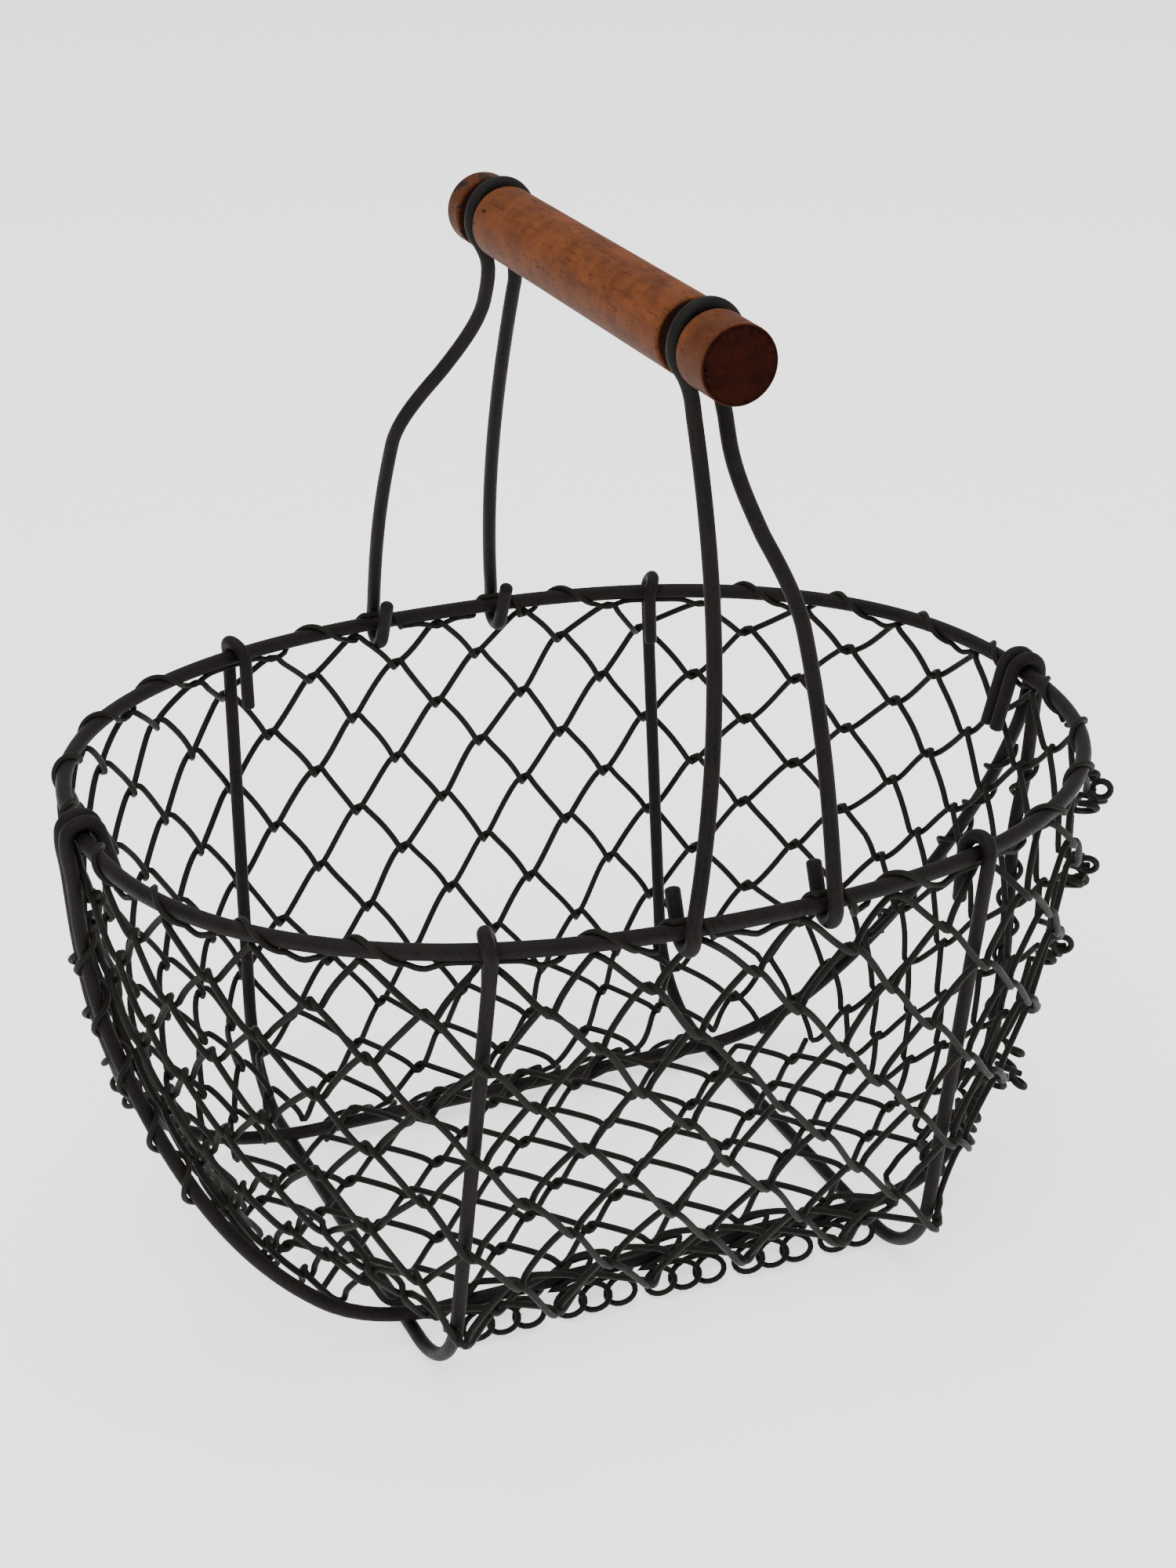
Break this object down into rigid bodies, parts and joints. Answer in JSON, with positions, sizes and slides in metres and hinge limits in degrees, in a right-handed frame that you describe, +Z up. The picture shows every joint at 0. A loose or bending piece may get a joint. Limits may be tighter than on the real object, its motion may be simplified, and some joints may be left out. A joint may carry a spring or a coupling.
{
  "type": "wire storage basket",
  "caption": "Oval wire basket with chain-link net walls, bent wire frame, looped lacing and a swaying handle with a turned wooden grip.",
  "frame": {"origin": "on the floor under the middle of the overall box", "axes": "+X along the basket towards its right end, +Y towards its back, +Z up"},
  "size_m": [0.3352, 0.267, 0.325],
  "materials": {
    "frame_steel": "matt dark brown-black, slightly uneven coating",
    "net_steel": "matt dark brown-black thin wire",
    "turned_wood": "orange-brown satin wood, darker end faces"
  },
  "bodies": {
    "basket": {"rim_hoop": "frame_steel", "cross_rib_left": "frame_steel", "cross_rib_right": "frame_steel", "lengthwise_wire_front": "frame_steel", "lengthwise_wire_back": "frame_steel", "wall_strand_01": "net_steel", "wall_strand_02": "net_steel", "wall_strand_03": "net_steel", "wall_strand_04": "net_steel", "wall_strand_05": "net_steel", "wall_strand_06": "net_steel", "wall_strand_07": "net_steel", "wall_strand_08": "net_steel", "wall_strand_09": "net_steel", "wall_strand_10": "net_steel", "wall_strand_11": "net_steel", "base_strand_1": "net_steel", "base_strand_2": "net_steel", "base_strand_3": "net_steel", "base_strand_4": "net_steel", "base_strand_5": "net_steel", "base_strand_6": "net_steel", "base_strand_7": "net_steel", "base_strand_8": "net_steel", "rim_binding": "net_steel", "base_lacing_front": "net_steel", "base_lacing_back": "net_steel", "end_lacing_left_front": "net_steel", "end_lacing_left_back": "net_steel", "end_lacing_right_front": "net_steel", "end_lacing_right_back": "net_steel"},
    "front_bow": {"handle_bow_front": "frame_steel"},
    "back_bow": {"handle_bow_back": "frame_steel"},
    "grip": {"wooden_grip": "turned_wood"}
  },
  "joints": [
    {"name": "front_bow_sway", "type": "hinge", "parent": "basket", "child": "front_bow", "pos_m": [0, -0.1259, 0.1603], "axis": [1, 0, 0], "range_deg": [-5, 5]},
    {"name": "back_bow_sway", "type": "hinge", "parent": "basket", "child": "back_bow", "pos_m": [0, 0.1259, 0.1603], "axis": [1, 0, 0], "range_deg": [-5, 5]},
    {"name": "grip_tilt", "type": "hinge", "parent": "front_bow", "child": "grip", "pos_m": [0.0042, -0.0781, 0.3111], "axis": [1, 0, 0], "range_deg": [-8.5, 8.5]}
  ],
  "couplings": [
    {"joint": "back_bow_sway", "follows": "front_bow_sway", "ratio": 1},
    {"joint": "grip_tilt", "follows": "front_bow_sway", "ratio": -1.673}
  ]
}
